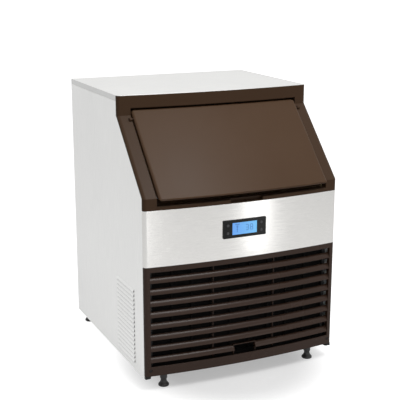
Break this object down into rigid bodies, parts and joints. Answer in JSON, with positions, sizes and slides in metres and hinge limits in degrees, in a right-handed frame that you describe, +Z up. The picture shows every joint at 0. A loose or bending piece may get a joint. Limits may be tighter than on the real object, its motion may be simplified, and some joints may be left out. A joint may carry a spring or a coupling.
{
  "type": "ice cube machine",
  "caption": "Free-standing ice cube machine: pale steel cabinet on levelling feet, sloping brown lift-up door, bowed control band with a lit display, louvred brown front grille.",
  "frame": {"origin": "middle of the footprint, on the floor under the feet", "axes": "+Z up, the front with the door and grille faces -Y, +X to the right seen from the front"},
  "size_m": [0.666, 0.7349, 0.888],
  "materials": {
    "side_steel": "satin, fine horizontal grain",
    "top_steel": "satin",
    "band_steel": "satin, brushed along the band",
    "zinc_steel": "zinc coated",
    "black_rail": "matt black",
    "foot_black": "satin black",
    "brown_plastic": "satin dark brown",
    "door_plastic": "satin dark brown, fine grain",
    "grille_plastic": "satin dark brown",
    "white_plastic": "glossy white",
    "black_rubber": "matt",
    "pin_steel": "bright",
    "bezel_black": "gloss black",
    "screen": "backlit blue",
    "board_green": "green board",
    "button_grey": "dark grey",
    "foam": "cream foam",
    "bright_nickel": "bright plated",
    "copper": "copper",
    "pump_plastic": "dark grey",
    "filter_mesh": "black",
    "fin_aluminium": "mill finish",
    "fan_black": "black",
    "valve_brass": "brass"
  },
  "bodies": {
    "cabinet": {"side_panel_left": "side_steel", "side_panel_right": "side_steel", "top_panel": "top_steel", "control_band": "band_steel", "back_panel": "zinc_steel", "base_pan": "zinc_steel", "crossmember_front": "zinc_steel", "crossmember_back": "zinc_steel", "machine_deck": "zinc_steel", "fan_shroud": "zinc_steel", "fan_stand": "zinc_steel", "control_box": "zinc_steel", "base_rail_left": "black_rail", "base_rail_right": "black_rail", "upper_frame": "brown_plastic", "lower_grille": "grille_plastic", "bin_liner": "white_plastic", "water_trough": "white_plastic", "water_distributor": "white_plastic", "compressor_mounts": "black_rubber", "grille_screws": "pin_steel", "back_screws": "pin_steel", "float_stem": "pin_steel", "display_bezel": "bezel_black", "power_gland": "bezel_black", "display_window": "screen", "display_board": "board_green", "insulation": "foam", "evaporator_grid": "bright_nickel", "evaporator_brackets": "bright_nickel", "evaporator_coil": "copper", "condenser_bends": "copper", "refrigerant_pipes": "copper", "filter_drier": "copper", "water_pump": "pump_plastic", "supply_hose": "pump_plastic", "bin_probe": "pump_plastic", "drain_outlet": "pump_plastic", "air_filter": "filter_mesh", "condenser_core": "fin_aluminium", "fan_motor": "fan_black", "compressor": "fan_black", "hot_gas_valve": "valve_brass", "water_inlet_valve": "valve_brass"},
    "door": {"door_shell": "door_plastic", "door_liner": "white_plastic", "door_gasket": "black_rubber", "door_hinge_pins": "pin_steel"},
    "curtain": {"water_curtain": "white_plastic"},
    "float": {"level_float": "pump_plastic"},
    "fan": {"fan_blades": "fan_black", "fan_shaft": "pin_steel"},
    "button_left_upper": {"button_left_upper": "button_grey"},
    "button_left_lower": {"button_left_lower": "button_grey"},
    "button_right_upper": {"button_right_upper": "button_grey"},
    "button_right_lower": {"button_right_lower": "button_grey"},
    "foot_front_left": {"foot_front_left": "foot_black"},
    "foot_front_right": {"foot_front_right": "foot_black"},
    "foot_back_left": {"foot_back_left": "foot_black"},
    "foot_back_right": {"foot_back_right": "foot_black"}
  },
  "joints": [
    {"name": "door_hinge", "type": "hinge", "parent": "cabinet", "child": "door", "pos_m": [0, -0.14276, 0.81584], "axis": [-1, 0, 0], "range_deg": [0, 85]},
    {"name": "curtain_hinge", "type": "hinge", "parent": "cabinet", "child": "curtain", "pos_m": [0, 0.22418, 0.8075], "axis": [-1, 0, 0], "range_deg": [0, 35]},
    {"name": "float_rise", "type": "slide", "parent": "cabinet", "child": "float", "axis": [0, 0, 1], "range_m": [0, 0.022]},
    {"name": "fan_spin", "type": "hinge", "parent": "cabinet", "child": "fan", "pos_m": [-0.09, -0.17352, 0.2], "axis": [0, 1, 0], "continuous": true},
    {"name": "button_left_upper_press", "type": "slide", "parent": "cabinet", "child": "button_left_upper", "axis": [0, 1, 0], "range_m": [0, 0.001], "stiffness_N_per_m": 400, "springref_m": -0.002},
    {"name": "button_left_lower_press", "type": "slide", "parent": "cabinet", "child": "button_left_lower", "axis": [0, 1, 0], "range_m": [0, 0.001], "stiffness_N_per_m": 400, "springref_m": -0.002},
    {"name": "button_right_upper_press", "type": "slide", "parent": "cabinet", "child": "button_right_upper", "axis": [0, 1, 0], "range_m": [0, 0.001], "stiffness_N_per_m": 400, "springref_m": -0.002},
    {"name": "button_right_lower_press", "type": "slide", "parent": "cabinet", "child": "button_right_lower", "axis": [0, 1, 0], "range_m": [0, 0.001], "stiffness_N_per_m": 400, "springref_m": -0.002},
    {"name": "foot_front_left_screw", "type": "slide", "parent": "cabinet", "child": "foot_front_left", "axis": [0, 0, 1], "range_m": [-0.012, 0]},
    {"name": "foot_front_right_screw", "type": "slide", "parent": "cabinet", "child": "foot_front_right", "axis": [0, 0, 1], "range_m": [-0.012, 0]},
    {"name": "foot_back_left_screw", "type": "slide", "parent": "cabinet", "child": "foot_back_left", "axis": [0, 0, 1], "range_m": [-0.012, 0]},
    {"name": "foot_back_right_screw", "type": "slide", "parent": "cabinet", "child": "foot_back_right", "axis": [0, 0, 1], "range_m": [-0.012, 0]}
  ]
}
